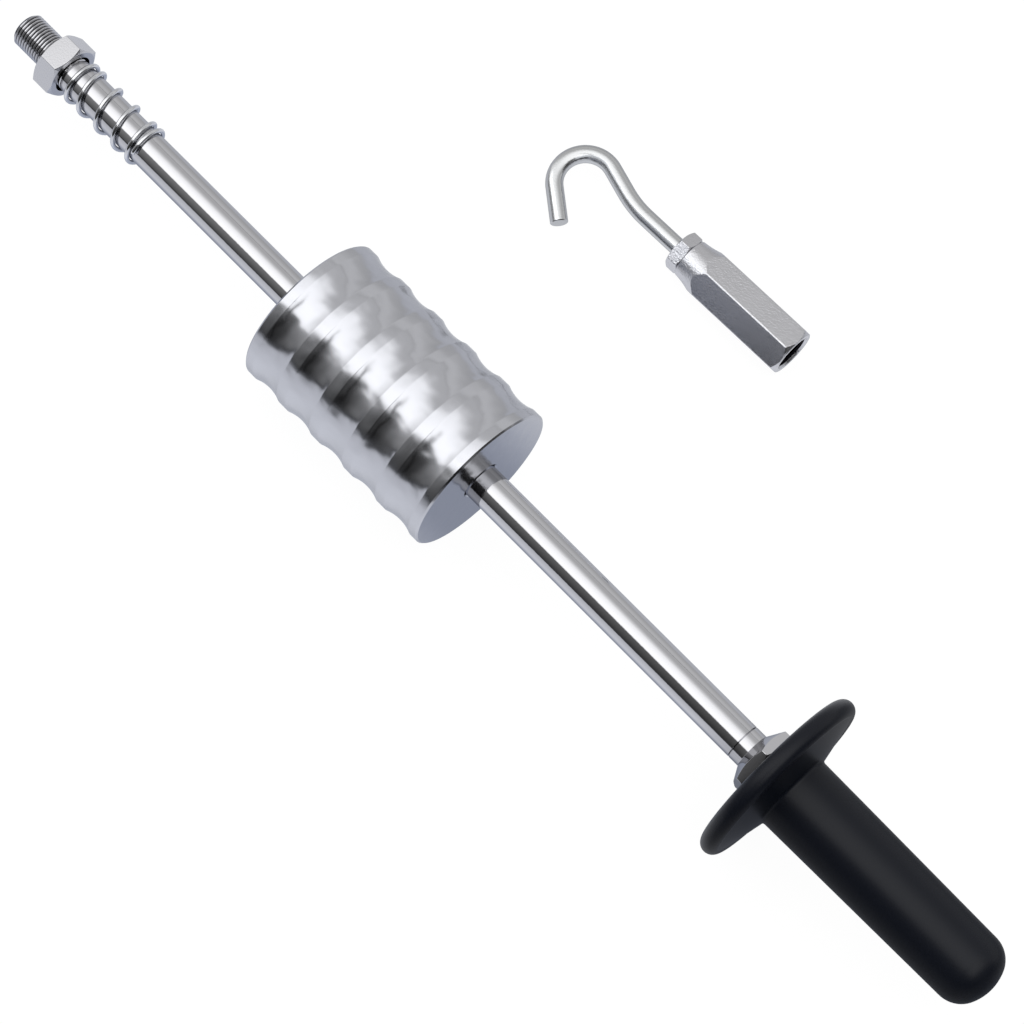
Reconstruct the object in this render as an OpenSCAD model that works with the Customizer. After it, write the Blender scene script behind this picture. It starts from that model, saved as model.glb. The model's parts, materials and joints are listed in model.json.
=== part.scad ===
// Slide hammer puller with a screw-on hook set, lying ready on a bench.
// The shaft's axis is X with the threaded tip towards +X, and +Z is up.
// The origin is on the shaft's axis, behind the chamfer at its tip, where the full thread begins.

/* [Shaft] */
// Diameter of the shaft and of its tip thread
shaft_d = 16; // [12:0.5:20]
// Length of full thread in front of the lock nut
tip_thread_l = 17.8; // [12:0.1:30]
// Chamfer at the tip
tip_chamfer = 1.2; // [0.5:0.1:2]
// Diameter of the stub that screws into the stop nut
stub_d = 10; // [8:0.5:11]
// Length of that stub
stub_l = 16; // [10:1:24]

/* [Lock nut] */
// Across flats of the lock nut
nut_af = 24; // [22:1:30]
// Thickness of the lock nut
nut_h = 11; // [8:0.5:16]
// Turn of the lock nut about the shaft, degrees
nut_turn = 40; // [0:1:59]

/* [Spring] */
// Wire diameter of the spring
wire_d = 1.7; // [1.2:0.1:2.2]
// Loose gap between the lock nut and the spring
spring_gap = 4.1; // [1:0.1:12]
// Axial advance of one open turn
open_pitch = 11; // [6:0.2:14]
// Number of turns
spring_turns = 5.5; // [5:0.25:9]
// Closed turns at the end next to the lock nut
closed_near_nut = 0.4; // [0.25:0.05:1]
// Closed turns at the end next to the weight
closed_near_weight = 0.6; // [0.25:0.05:1]
// Turns over which the pitch grows or falls
ramp_turns = 1; // [1:0.1:1.8]

/* [Slide weight] */
// Diameter over the lands
weight_d = 71; // [50:1:80]
// Number of hand grooves
groove_n = 5; // [3:1:7]
// Width of one land
land_w = 4.7; // [3:0.1:8]
// Width of one groove
groove_w = 14.9; // [10:0.1:20]
// Depth of one groove
groove_depth = 1.4; // [0.8:0.1:2.5]
// Chamfer of the outer edges
weight_chamfer = 0.8; // [0.5:0.1:2.5]
// Radial gap between the bore and the shaft
bore_gap = 0.5; // [0.3:0.05:0.8]
// Chamfer at each mouth of the bore
mouth_chamfer = 0.7; // [0.3:0.1:1.2]
// Distance from the spring to the weight where the weight lies
weight_to_spring = 99.4; // [40:0.2:140]
// Distance from the weight to the stop nut where the weight lies
weight_to_stop = 149.4; // [100:0.2:240]

/* [Stop nut] */
// Across flats of the stop nut
stop_af = 27; // [24:1:32]
// Length of the round boss in front of its hexagon
boss_l = 5.3; // [3:0.1:10]
// Length of the hexagon, cone included
stop_hex_l = 8.3; // [6:0.1:14]
// Angle of the cone in front of the hexagon from the nut's face, degrees
stop_cone = 30; // [20:1:40]
// Thickness of the washer face behind the hexagon
washer_face_l = 1.7; // [0.5:0.1:2]
// Length of the spigot inside the handle tube
spigot_l = 22; // [12:1:30]
// Turn of the stop nut about the shaft, degrees
stop_turn = 13; // [0:1:59]

/* [Handle] */
// Outer diameter of the steel tube inside the grip
tube_d = 24; // [20:0.5:26]
// Wall of that tube
tube_wall = 2; // [1.5:0.1:3]
// Length of that tube
tube_l = 104; // [80:1:120]
// Diameter of the guard
guard_d = 82; // [60:1:100]
// Thickness of the guard's rounded rim
rim_t = 8.5; // [6:0.5:12]
// Height by which the rim stands over the edge of the guard's back cone
rim_proud = 0.6; // [0.3:0.1:2]
// Distance from the guard's front to the foot of the grip
grip_foot = 12.4; // [10:0.2:18]
// Diameter of the grip next to the guard
grip_d = 33.5; // [30:0.5:40]
// Diameter of the grip next to its closed end
grip_end_d = 31.2; // [28:0.2:38]
// Length from the guard's front to the closed end
grip_l = 119.1; // [110:0.1:140]
// Radius of the rounding at the closed end
end_round = 12; // [4:0.5:14]
// Radius of the dome on the closed end
dome_r = 20.8; // [16:0.2:40]

/* [Adaptor] */
// Across flats of the adaptor
adaptor_af = 22; // [20:1:27]
// Length of the adaptor
adaptor_l = 62.1; // [50:0.1:80]
// Diameter of its turned neck at the hook end
neck_d = 18.8; // [17:0.1:19.6]
// Radius of the neck's sweep up to the corners
neck_sweep = 38; // [30:1:60]
// Chamfer on the corners at the socket end
socket_chamfer = 2.1; // [1:0.1:3]
// Depth of the threaded socket
socket_depth = 38; // [24:1:44]
// Chamfer at the socket's mouth
socket_mouth = 0.8; // [0.4:0.1:1]

/* [Hook] */
// Bar diameter of the hook
hook_d = 8; // [6:0.5:9]
// Length of the shank in the adaptor
shank_in_l = 18; // [12:1:20]
// Straight shank outside the adaptor
shank_l = 26.2; // [18:0.2:34]
// Bend radius of the set-back
setback_r = 48.5; // [35:0.5:60]
// Angle of the set-back, degrees
setback_a = 17; // [10:1:24]
// Straight length between the bends
back_l = 12.5; // [6:0.5:20]
// Bend radius of the hook, to the middle of the bar
hook_r = 13.6; // [11:0.1:18]
// Angle of the hook's bend, degrees
hook_a = 159; // [140:1:165]
// Straight length at the point
point_l = 17; // [10:0.5:24]
// Across flats of the jam nut
jam_af = 17; // [15:1:18]
// Thickness of the jam nut
jam_h = 6.2; // [4:0.1:8]
// Turn of the jam nut about the hook, degrees
jam_turn = 44; // [0:1:59]

/* [Layout] */
// Distance from the shaft's axis to the hook set
set_aside = 156.3; // [110:0.1:200]
// Distance along the shaft from the tip to the hook end of the adaptor
set_back = 253.4; // [150:0.2:300]
// Angle between the hook set and the shaft, degrees
set_yaw = 1.4; // [0:0.1:5]

/* [Hidden] */

// Colours as the pieces look
chrome = [0.82, 0.83, 0.85];
zinc = [0.70, 0.71, 0.74];
steel = [0.55, 0.56, 0.58];
rubber = [0.11, 0.11, 0.12];

// Facets of a round solid and of a point-by-point arc
$fn = 96;
arc_steps = 10;
// Cuts run past the surface by this much
over = 1;
// Radial gap in a screw thread, drawn as plain cylinders
thread_gap = 0.05;
// The free thread's crests lie this far inside the shaft's own radius, and it ends this far from the nut
crest_drop = 0.16;
nut_standoff = 0.5;
// Radial gap of pieces pushed over each other
push_gap = 0.05;
// Depth of a drilled hole past the end of what it holds
drill_past = 2;

// A quarter turn, degrees
quarter = 90;
// Turn of the spring's front end about the shaft, degrees
spring_start = 242;

shaft_r = shaft_d / 2;
thread_r = shaft_r - crest_drop;
free_thread_l = tip_thread_l - nut_standoff;
weight_r = weight_d / 2;
guard_r = guard_d / 2;

// Stations along the shaft, measured from the tip towards the handle
nut_at = tip_thread_l;
spring_at = nut_at + nut_h + spring_gap;

// The spring's pitch grows from the closed turns to the open ones and falls back
coil_self_gap = 0.5;
closed_pitch = wire_d + coil_self_gap;
function ramp(t) = t < 0 ? 0 : t < ramp_turns ? t * t / (2 * ramp_turns) : t - ramp_turns / 2;
function advance(t) = closed_pitch * t + (open_pitch - closed_pitch)
    * (ramp(t - closed_near_nut) - ramp(t - (spring_turns - closed_near_weight - ramp_turns)));
spring_steps = 8;
spring_l = advance(spring_turns) + wire_d;
// Ring centres lie out far enough for the flat chords between them to clear the shaft
spring_clear = 0.1;
coil_r = (shaft_r + spring_clear + wire_d / 2) / cos(180 / spring_steps);
wire_sides = 6;

weight_l = groove_n * groove_w + (groove_n + 1) * land_w;
weight_at = spring_at + spring_l + weight_to_spring;
bore_r = shaft_r + bore_gap;
groove_r = (pow(groove_w / 2, 2) + pow(groove_depth, 2)) / (2 * groove_depth);

stop_at = weight_at + weight_l + weight_to_stop;
stop_corner_r = stop_af / 2 / cos(30);
washer_face_d = stop_af * 0.975;
cone_l = (stop_corner_r - shaft_r) * tan(stop_cone);
guard_at = stop_at + boss_l + stop_hex_l + washer_face_l;
spigot_r = tube_d / 2 - tube_wall - push_gap;

rim_r = rim_t / 2;
// Chamfer in the corner between the guard and the grip
foot_chamfer = 1;

// The resting plane touches the guard's rim and the weight's edge nearest the tip
rim_at = guard_at + rim_r;
weight_edge_at = weight_at + weight_chamfer;
floor_tilt = atan((guard_r - weight_r) / (rim_at - weight_edge_at));
function floor_z(x) = -guard_r + tan(floor_tilt) * (x + rim_at);

// The hook's own plane: station along the shank and reach to the side
bend_a = hook_a - setback_a;
hook_reach = hook_r * (cos(setback_a) - cos(bend_a)) + point_l * sin(bend_a)
             - setback_r * (1 - cos(setback_a)) - back_l * sin(setback_a);
hook_roll = asin((adaptor_af - hook_d) / 2 / hook_reach);

// Points of an arc round (cr, cz) from angle a0 to a1, measured from the radius towards the station
function arc(cr, cz, r, a0, a1) =
    [for (i = [0 : arc_steps]) let (a = a0 + (a1 - a0) * i / arc_steps) [cr + r * cos(a), cz + r * sin(a)]];
function but_last(points) = [for (i = [1 : len(points) - 1]) points[i - 1]];

// Turned outlines are drawn as [radius, station] and stood along the shaft
module along_shaft(station = 0) {
    translate([-station, 0, 0]) rotate([0, -90, 0]) children();
}

// The hook set lies on the resting plane, its local Z towards the hook and local X down
module beside_tool() {
    translate([-set_back, -set_aside, floor_z(-set_back) + adaptor_af / 2 / cos(floor_tilt)])
        rotate([0, 90 - floor_tilt, set_yaw]) children();
}

// A hexagonal bar with its corners turned down at both faces
module hex_nut(af, h, hole_d) {
    corner_r = af / 2 / cos(30);
    face_r = af * 0.475;
    chamfer_h = (corner_r - face_r) * tan(30);
    difference() {
        intersection() {
            cylinder(d = 2 * corner_r, h = h, $fn = 6);
            rotate_extrude()
                polygon([[0, 0], [face_r, 0], [corner_r, chamfer_h], [corner_r, h - chamfer_h], [face_r, h], [0, h]]);
        }
        translate([0, 0, -over]) cylinder(d = hole_d, h = h + 2 * over);
        countersink(hole_d / 2, h);
    }
}

// Cones that open both mouths of a hole
module countersink(hole_r, h) {
    sink = hole_r * 0.1;
    for (end = [0, 1])
        translate([0, 0, end * h]) mirror([0, 0, end])
            translate([0, 0, -sink]) cylinder(r1 = hole_r + 2 * sink, r2 = hole_r, h = 2 * sink);
}

module shaft() {
    color(chrome) along_shaft() rotate_extrude()
        polygon([[0, -tip_chamfer], [thread_r - tip_chamfer, -tip_chamfer], [thread_r, 0],
                 [thread_r, free_thread_l], [shaft_r, free_thread_l], [shaft_r, stop_at],
                 [stub_d / 2, stop_at], [stub_d / 2, stop_at + stub_l], [0, stop_at + stub_l]]);
}

module lock_nut() {
    color(zinc) along_shaft(nut_at) rotate([0, 0, nut_turn])
        hex_nut(nut_af, nut_h, shaft_d + 2 * thread_gap);
}

// One unbroken tube: rings of wire_sides points along the coil, joined ring to ring
module spring() {
    rings = spring_turns * spring_steps;
    lead_a = 360 / spring_steps;
    wire_r = wire_d / 2;
    points = [for (k = [0 : rings]) for (j = [0 : wire_sides - 1])
        let (a = 360 * j / wire_sides, r = coil_r + wire_r * cos(a), turn = spring_start + k * lead_a)
        [r * cos(turn), r * sin(turn), wire_r + advance(k / spring_steps) + wire_r * sin(a)]];
    walls = [for (k = [0 : rings - 1]) for (j = [0 : wire_sides - 1])
        let (n = (j + 1) % wire_sides, p = k * wire_sides, q = p + wire_sides)
        each [[p + j, q + j, q + n], [p + j, q + n, p + n]]];
    caps = [for (j = [1 : wire_sides - 2]) each
        [[0, j, j + 1], [rings * wire_sides, rings * wire_sides + j + 1, rings * wire_sides + j]]];
    // Least gap between points more than half a turn apart along the coil
    apart = spring_steps / 2;
    echo(spring_gap_to_itself = min([for (i = [0 : rings]) for (j = [i + apart : 1 : rings])
        min([for (p = [0 : wire_sides - 1]) for (q = [0 : wire_sides - 1])
            norm(points[i * wire_sides + p] - points[j * wire_sides + q])])]));
    color(zinc) along_shaft(spring_at) polyhedron(points, concat(walls, caps));
}

module slide_weight() {
    module outline() {
        difference() {
            polygon([[bore_r + mouth_chamfer, 0], [weight_r - weight_chamfer, 0], [weight_r, weight_chamfer],
                     [weight_r, weight_l - weight_chamfer], [weight_r - weight_chamfer, weight_l],
                     [bore_r + mouth_chamfer, weight_l], [bore_r, weight_l - mouth_chamfer],
                     [bore_r, mouth_chamfer]]);
            for (i = [0 : groove_n - 1])
                translate([weight_r - groove_depth + groove_r, land_w + groove_w / 2 + i * (land_w + groove_w)])
                    circle(r = groove_r);
        }
    }
    color(chrome) along_shaft(weight_at) rotate_extrude() outline();
}

module stop_nut() {
    hex_from = boss_l;
    hex_to = boss_l + stop_hex_l;
    back = hex_to + washer_face_l;
    washer_r = washer_face_d / 2;
    rear_bevel = (stop_corner_r - washer_r) * tan(30);
    color(chrome) along_shaft(stop_at) rotate([0, 0, stop_turn]) difference() {
        union() {
            cylinder(r = shaft_r, h = hex_from + cone_l);
            intersection() {
                translate([0, 0, hex_from]) cylinder(r = stop_corner_r, h = stop_hex_l, $fn = 6);
                rotate_extrude()
                    polygon([[0, hex_from], [shaft_r, hex_from], [stop_corner_r, hex_from + cone_l],
                             [stop_corner_r, hex_to - rear_bevel], [washer_r, hex_to], [0, hex_to]]);
            }
            translate([0, 0, hex_to]) cylinder(r = washer_r, h = washer_face_l);
            translate([0, 0, back]) cylinder(r = spigot_r, h = spigot_l);
        }
        translate([0, 0, -over])
            cylinder(r = stub_d / 2 + thread_gap, h = stub_l + drill_past + over);
    }
}

module handle_tube() {
    color(steel) along_shaft(guard_at) difference() {
        cylinder(d = tube_d, h = tube_l);
        translate([0, 0, -over]) cylinder(d = tube_d - 2 * tube_wall, h = tube_l + 2 * over);
    }
}

module grip() {
    foot_r = grip_d / 2;
    end_r = grip_end_d / 2;
    hole_r = tube_d / 2 + push_gap;
    hole_l = tube_l + push_gap;
    rim_mid_r = guard_r - rim_r;
    cone_slope = (grip_foot - rim_t + rim_proud) / (rim_mid_r - foot_r);
    // The rounding's circle touches the side from inside, and the dome's circle from inside too
    cap_r = end_r - end_round;
    dome_a = asin(cap_r / (dome_r - end_round));
    round_z = grip_l - dome_r + (dome_r - end_round) * cos(dome_a);
    module outline() {
        difference() {
            union() {
                translate([rim_mid_r, rim_r]) circle(r = rim_r);
                polygon(concat(
                    [[0, 0], [rim_mid_r, 0], [rim_mid_r, rim_t - rim_proud],
                     [foot_r + foot_chamfer, grip_foot - foot_chamfer * cone_slope], [foot_r, grip_foot + foot_chamfer]],
                    but_last(arc(cap_r, round_z, end_round, 0, quarter - dome_a)),
                    arc(0, grip_l - dome_r, dome_r, quarter - dome_a, quarter)));
            }
            translate([-over, -over]) square([hole_r + over, hole_l + over]);
        }
    }
    color(rubber) along_shaft(guard_at) rotate_extrude() outline();
}

module adaptor() {
    corner_r = adaptor_af / 2 / cos(30);
    neck_r = neck_d / 2;
    // The neck starts almost straight and sweeps out to the corners
    sweep_a0 = 3;
    sweep_a1 = acos(cos(sweep_a0) - (corner_r - neck_r) / neck_sweep);
    sweep_l = neck_sweep * (sin(sweep_a1) - sin(sweep_a0));
    sweep = [for (i = [0 : arc_steps]) let (a = sweep_a0 + (sweep_a1 - sweep_a0) * i / arc_steps)
        [neck_r + neck_sweep * (cos(sweep_a0) - cos(a)), -neck_sweep * (sin(a) - sin(sweep_a0))]];
    end_r = adaptor_af * 0.49;
    socket_r = shaft_r + thread_gap;
    color(zinc) beside_tool() difference() {
        intersection() {
            translate([0, 0, -adaptor_l]) rotate([0, 0, 30]) cylinder(r = corner_r, h = adaptor_l, $fn = 6);
            rotate_extrude()
                polygon(concat([[0, 0]], sweep,
                    [[corner_r, -adaptor_l + socket_chamfer], [end_r, -adaptor_l], [0, -adaptor_l]]));
        }
        translate([0, 0, -adaptor_l - over]) cylinder(r = socket_r, h = socket_depth + over);
        translate([0, 0, -adaptor_l - socket_mouth])
            cylinder(r1 = socket_r + 2 * socket_mouth, r2 = socket_r, h = 2 * socket_mouth);
        translate([0, 0, -adaptor_l]) cylinder(r = hook_d / 2 + thread_gap, h = adaptor_l + over);
    }
}

// The middle of the hook's bar in its own plane, as [side, along, heading in degrees]
function step_on(from, l) = [from[0] + l * sin(from[2]), from[1] + l * cos(from[2]), from[2]];
function turn_on(from, r, a) = let (h = from[2] + a)
    [from[0] + r * sign(a) * (cos(from[2]) - cos(h)), from[1] + r * sign(a) * (sin(h) - sin(from[2])), h];
function bend_on(from, r, a, steps) = [for (i = [1 : steps]) turn_on(from, r, a * i / steps)];

module hook_rod() {
    bar_sides = 24;
    setback_steps = 4;
    bend_steps = 18;
    shank = step_on([0, 0, 0], shank_l);
    setback = bend_on(shank, setback_r, -setback_a, setback_steps);
    back = step_on(setback[setback_steps - 1], back_l);
    bend = bend_on(back, hook_r, hook_a, bend_steps);
    point = step_on(bend[bend_steps - 1], point_l);
    route = concat([[0, 0, 0], shank], setback, [back], bend, [point]);
    last = len(route) - 1;
    // The flats of the swept bar lie as deep as its corners stand out
    corner_r = hook_d / (1 + cos(180 / bar_sides));
    points = [for (c = route) for (j = [0 : bar_sides - 1])
        let (a = 360 * j / bar_sides, n = corner_r * cos(a))
        [corner_r * sin(a), c[0] + n * cos(c[2]), c[1] - n * sin(c[2])]];
    walls = [for (k = [0 : last - 1]) for (j = [0 : bar_sides - 1])
        let (n = (j + 1) % bar_sides, p = k * bar_sides, q = p + bar_sides)
        each [[p + j, q + n, q + j], [p + j, p + n, q + n]]];
    caps = [[for (j = [0 : bar_sides - 1]) bar_sides - 1 - j],
            [for (j = [0 : bar_sides - 1]) last * bar_sides + j]];
    color(zinc) beside_tool() rotate([0, 0, -hook_roll]) {
        translate([0, 0, -shank_in_l]) cylinder(d = hook_d, h = shank_in_l + jam_h);
        polyhedron(points, concat(walls, caps));
    }
}

module jam_nut() {
    color(zinc) beside_tool() rotate([0, 0, jam_turn]) hex_nut(jam_af, jam_h, hook_d + 2 * thread_gap);
}

shaft();
lock_nut();
spring();
slide_weight();
stop_nut();
handle_tube();
grip();
adaptor();
hook_rod();
jam_nut();
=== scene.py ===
"""Dresses the slide hammer puller and its screw-on hook set for a plain studio picture.

Lengths are in millimetres until a mesh is made. Each turned or forged piece is worked out in its own
frame, whose Z runs along the piece's axis, and is then carried to its place in the row's frame.
"""

from __future__ import annotations

import json
import logging
import math
from dataclasses import dataclass, field
from enum import Enum

import bpy
import numpy as np
from mathutils import Matrix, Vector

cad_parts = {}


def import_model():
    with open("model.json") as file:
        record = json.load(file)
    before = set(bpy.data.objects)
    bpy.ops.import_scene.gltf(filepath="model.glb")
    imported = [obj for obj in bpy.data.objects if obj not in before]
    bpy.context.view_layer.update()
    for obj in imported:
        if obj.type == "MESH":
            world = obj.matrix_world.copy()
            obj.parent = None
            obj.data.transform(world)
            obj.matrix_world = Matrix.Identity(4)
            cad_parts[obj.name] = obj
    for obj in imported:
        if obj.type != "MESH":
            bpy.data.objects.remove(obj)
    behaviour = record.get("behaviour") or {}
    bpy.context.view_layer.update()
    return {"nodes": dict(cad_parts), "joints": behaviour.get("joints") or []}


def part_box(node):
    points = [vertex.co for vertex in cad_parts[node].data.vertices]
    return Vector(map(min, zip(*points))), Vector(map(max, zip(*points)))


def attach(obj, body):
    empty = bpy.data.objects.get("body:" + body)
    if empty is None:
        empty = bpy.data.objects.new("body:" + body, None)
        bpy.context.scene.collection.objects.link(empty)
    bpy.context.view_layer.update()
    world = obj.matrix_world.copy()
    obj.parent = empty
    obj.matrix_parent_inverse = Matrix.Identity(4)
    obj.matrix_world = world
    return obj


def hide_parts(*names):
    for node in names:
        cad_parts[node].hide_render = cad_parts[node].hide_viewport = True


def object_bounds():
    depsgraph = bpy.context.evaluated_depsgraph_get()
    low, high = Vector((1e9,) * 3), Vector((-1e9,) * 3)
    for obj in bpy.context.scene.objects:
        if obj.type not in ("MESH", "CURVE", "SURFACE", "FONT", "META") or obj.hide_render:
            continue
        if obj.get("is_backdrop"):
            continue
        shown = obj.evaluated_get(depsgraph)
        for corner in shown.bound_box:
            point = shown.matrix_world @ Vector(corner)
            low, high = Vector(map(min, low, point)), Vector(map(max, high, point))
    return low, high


log = logging.getLogger("scene")

MM = 0.001
DEGREE = math.pi / 180
# Vertex attribute that is 1 in thread roots and holes, where shade is painted into the colour
PAINTED_SHADE_MARK = "inside"
# The two nodes that levels of light are worked out with
MATH, RANGE = "ShaderNodeMath", "ShaderNodeMapRange"
# A rounded edge is drawn by a row of points this far to each side of it
BEVEL = 0.12
# A thread's crest and root, as shares of its pitch
CREST, ROOT = 0.33, 0.1
# Half the angle at a corner that is too flat to round, and the share of a side one arc may take
NEARLY_STRAIGHT, ARC_SHARE = math.radians(88), 0.45
# Nuts' corners are turned down by 30 degrees: height lost for each millimetre of overhang
TURNED_DOWN = math.tan(math.radians(30))
# A nut's round face over its width across flats, and how far its hole opens over the hole's radius
NUT_FACE, NUT_MOUTH = 0.488, 0.15
# The small step that keeps the edge of a nut's hole sharp
MOUTH_EDGE = 0.04


class Part(Enum):
    """The CAD nodes that get a surface of their own."""

    SHAFT = "shaft"
    LOCK_NUT = "lock_nut"
    SPRING = "spring"
    WEIGHT = "slide_weight"
    STOP_NUT = "stop_nut"
    GRIP = "grip"
    ADAPTOR = "adaptor"
    HOOK = "hook_rod"
    JAM_NUT = "jam_nut"


# Colours and shader nodes


def linear(code: str) -> tuple[float, float, float, float]:
    """Turns an sRGB hex colour to linear red, green, blue and alpha.

    Args:
        code: Six hex digits after a hash sign.

    Returns:
        Linear colour with alpha 1.
    """
    parts = [int(code[i : i + 2], 16) / 255 for i in (1, 3, 5)]
    return tuple(c / 12.92 if c <= 0.04045 else ((c + 0.055) / 1.055) ** 2.4 for c in parts) + (1.0,)


def add_node(
    tree: bpy.types.NodeTree,
    kind: str,
    settings: dict[str, object] | None = None,
    inputs: dict[str | int, object] | None = None,
) -> bpy.types.Node:
    """Adds one node and sets it up.

    Args:
        tree: Node tree to add to.
        kind: Blender's node type.
        settings: Properties of the node itself.
        inputs: Socket name or number to a value, or to an output socket that feeds it.

    Returns:
        The new node.
    """
    node = tree.nodes.new(kind)
    for name, value in (settings or {}).items():
        setattr(node, name, value)
    for key, value in (inputs or {}).items():
        if isinstance(value, bpy.types.NodeSocket):
            tree.links.new(value, node.inputs[key])
        else:
            node.inputs[key].default_value = value
    return node


@dataclass(frozen=True)
class Relief:
    """A noise field in a surface: the size of its features, its height, and its finer octaves."""

    size_mm: float
    height_mm: float
    detail: float = 2.0


@dataclass(frozen=True)
class Finish:
    """A metal or rubber finish, the share of light its metal keeps at a rim, and the colour of the shade
    painted into its holes and thread roots.
    """

    name: str
    colour: str
    roughness: float
    metallic: float = 1.0
    specular: float = 0.5
    edge: float = 1.0
    # Colour of the shade painted into holes and thread roots
    inside: str = "#101114"
    relief: Relief | None = None

    def material(self) -> bpy.types.Material:
        """Makes the material, with its relief raised by a noise field on Object coordinates, and with shade
        painted where the mesh marks its recesses.

        Returns:
            The new material.
        """
        material = bpy.data.materials.new(self.name)
        material.use_nodes = True
        tree = material.node_tree
        shader = tree.nodes["Principled BSDF"]
        # Painted shade: the marked recesses take the dark colour
        inside = add_node(tree, "ShaderNodeAttribute", {"attribute_name": PAINTED_SHADE_MARK}).outputs["Fac"]
        colours = {0: inside, 6: linear(self.colour), 7: linear(self.inside)}
        colour = add_node(tree, "ShaderNodeMix", {"data_type": "RGBA"}, colours)
        tree.links.new(colour.outputs[2], shader.inputs["Base Color"])
        shader.inputs["Metallic"].default_value = self.metallic
        shader.inputs["Roughness"].default_value = self.roughness
        shader.inputs["Specular IOR Level"].default_value = self.specular
        shader.inputs["Specular Tint"].default_value = (self.edge, self.edge, self.edge, 1)
        if self.relief:
            place = add_node(tree, "ShaderNodeTexCoord").outputs["Object"]
            grain = {"Vector": place, "Scale": 1 / (self.relief.size_mm * MM), "Detail": self.relief.detail}
            noise = add_node(tree, "ShaderNodeTexNoise", None, grain)
            raised = {"Height": noise.outputs["Fac"], "Distance": self.relief.height_mm * MM, "Strength": 1.0}
            bump = add_node(tree, "ShaderNodeBump", None, raised)
            tree.links.new(bump.outputs["Normal"], shader.inputs["Normal"])
        return material


# Hard chrome plate on ground steel: a mirror that returns half the light and less at its edges
CHROME = Finish("polished chrome plate", "#BFBFC2", 0.05, edge=0.6, relief=Relief(1.0, 0.01))
# Chrome plate on turned steel: the same mirror, slightly waved by the turning
WEIGHT_CHROME = Finish(
    "chrome plate on turned steel", "#BFC0C5", 0.19, edge=0.62, relief=Relief(6.0, 0.35, 0.3)
)
# Bright zinc plate on a machined nut: satin, with crystals too fine to show, drawn coarser
ZINC = Finish("bright zinc plate", "#C4C4C7", 0.2, edge=0.8, relief=Relief(0.7, 0.03))
# The same on rolled bar: it glitters, and its crystals are drawn coarser and higher to show it
ROUGH_ZINC = Finish(
    "zinc plate on rolled hexagon bar", "#C1C1C4", 0.2, edge=0.7, relief=Relief(0.75, 0.17)
)
# Zinc plate on drawn bar: smoother along the bar, with darker rims
BAR_ZINC = Finish("zinc plate on drawn bar", "#BEBFC0", 0.2, edge=0.5, relief=Relief(0.7, 0.05))
# Bright spring wire: smooth and shiny
WIRE = Finish("bright spring wire", "#CFD0D3", 0.14, edge=0.8)
# Plain drawn tube, hidden in the grip
TUBE = Finish("plain drawn tube", "#8C8E91", 0.35)
# Moulded black rubber: dull, with a soft sheen and the mould's fine grain
RUBBER = Finish(
    "moulded black rubber", "#10131B", 0.36, metallic=0.0, specular=0.2, relief=Relief(0.35, 0.004)
)


# Surfaces


@dataclass(frozen=True)
class Placement:
    """Carries points from a piece's own frame to the row's frame."""

    origin: tuple[float, float, float]
    axes: tuple[tuple[float, float, float], ...]

    def place(self, points: np.ndarray) -> np.ndarray:
        """Adds up the frame's three axes, each times its own coordinate, from the origin."""
        return np.asarray(self.origin) + points @ np.asarray(self.axes)

    @staticmethod
    def shaft(station: float = 0.0) -> Placement:
        """Frame on the shaft: Z towards the handle, X up, with its origin at a station behind the tip."""
        return Placement((-station, 0.0, 0.0), ((0.0, 0.0, 1.0), (0.0, 1.0, 0.0), (-1.0, 0.0, 0.0)))

    @staticmethod
    def lying(origin: np.ndarray, ahead: np.ndarray) -> Placement:
        """Makes the frame of a piece lying on the bench: Z ahead, Y level and X down.

        Args:
            origin: Where the frame's own origin stands.
            ahead: Unit vector along the piece's axis.

        Returns:
            The frame.
        """
        side = np.cross(ahead, (0.0, 0.0, -1.0))
        side = side / np.linalg.norm(side)
        down = np.cross(side, ahead)
        return Placement(tuple(origin), (tuple(down), tuple(side), tuple(ahead)))


def angles(count: int) -> np.ndarray:
    """Even angles round a circle, in radians, without the last that repeats the first."""
    return np.arange(count) * (2 * math.pi / count)


def fillet(points: list[tuple[float, float]], radius: float, steps: int = 4) -> np.ndarray:
    """Rounds the inner corners of an open outline.

    At each corner an arc of the radius touches both sides. Its points run evenly in angle from
    the touch point on the first side to the touch point on the second.

    Args:
        points: Corners of the outline in order.
        radius: Radius of each arc, less where a side is too short.
        steps: Pieces per arc.

    Returns:
        Outline as an array of points.
    """
    corners = np.asarray(points, float)
    rounded = [corners[:1]]
    for before, here, after in zip(corners[:-2], corners[1:-1], corners[2:]):
        a, b = before - here, after - here
        la, lb = np.linalg.norm(a), np.linalg.norm(b)
        a, b = a / la, b / lb
        half = math.acos(max(-1.0, min(1.0, float(a @ b)))) / 2
        if half > NEARLY_STRAIGHT:
            rounded.append(here[None])
            continue
        reach = min(radius / math.tan(half), ARC_SHARE * la, ARC_SHARE * lb)
        r = reach * math.tan(half)
        middle = here + (a + b) / np.linalg.norm(a + b) * math.hypot(reach, r)
        start, end = here + a * reach - middle, here + b * reach - middle
        share = np.linspace(0, 1, steps + 1)[:, None]
        angle = math.pi - 2 * half
        blend = (np.sin((1 - share) * angle) * start + np.sin(share * angle) * end) / math.sin(angle)
        rounded.append(middle + blend)
    rounded.append(corners[-1:])
    return np.concatenate(rounded)


def arc(middle: tuple[float, float], radius: float, angle: np.ndarray) -> np.ndarray:
    """Points of a circle: its middle plus its radius times each angle's cosine and sine."""
    return np.stack([middle[0] + radius * np.cos(angle), middle[1] + radius * np.sin(angle)], axis=-1)


def around(radius: np.ndarray, height: np.ndarray, angle: np.ndarray) -> np.ndarray:
    """Points at a radius, a height and an angle about Z, the three spread out over one grid."""
    return np.stack(np.broadcast_arrays(radius * np.cos(angle), radius * np.sin(angle), height), axis=-1)


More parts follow.
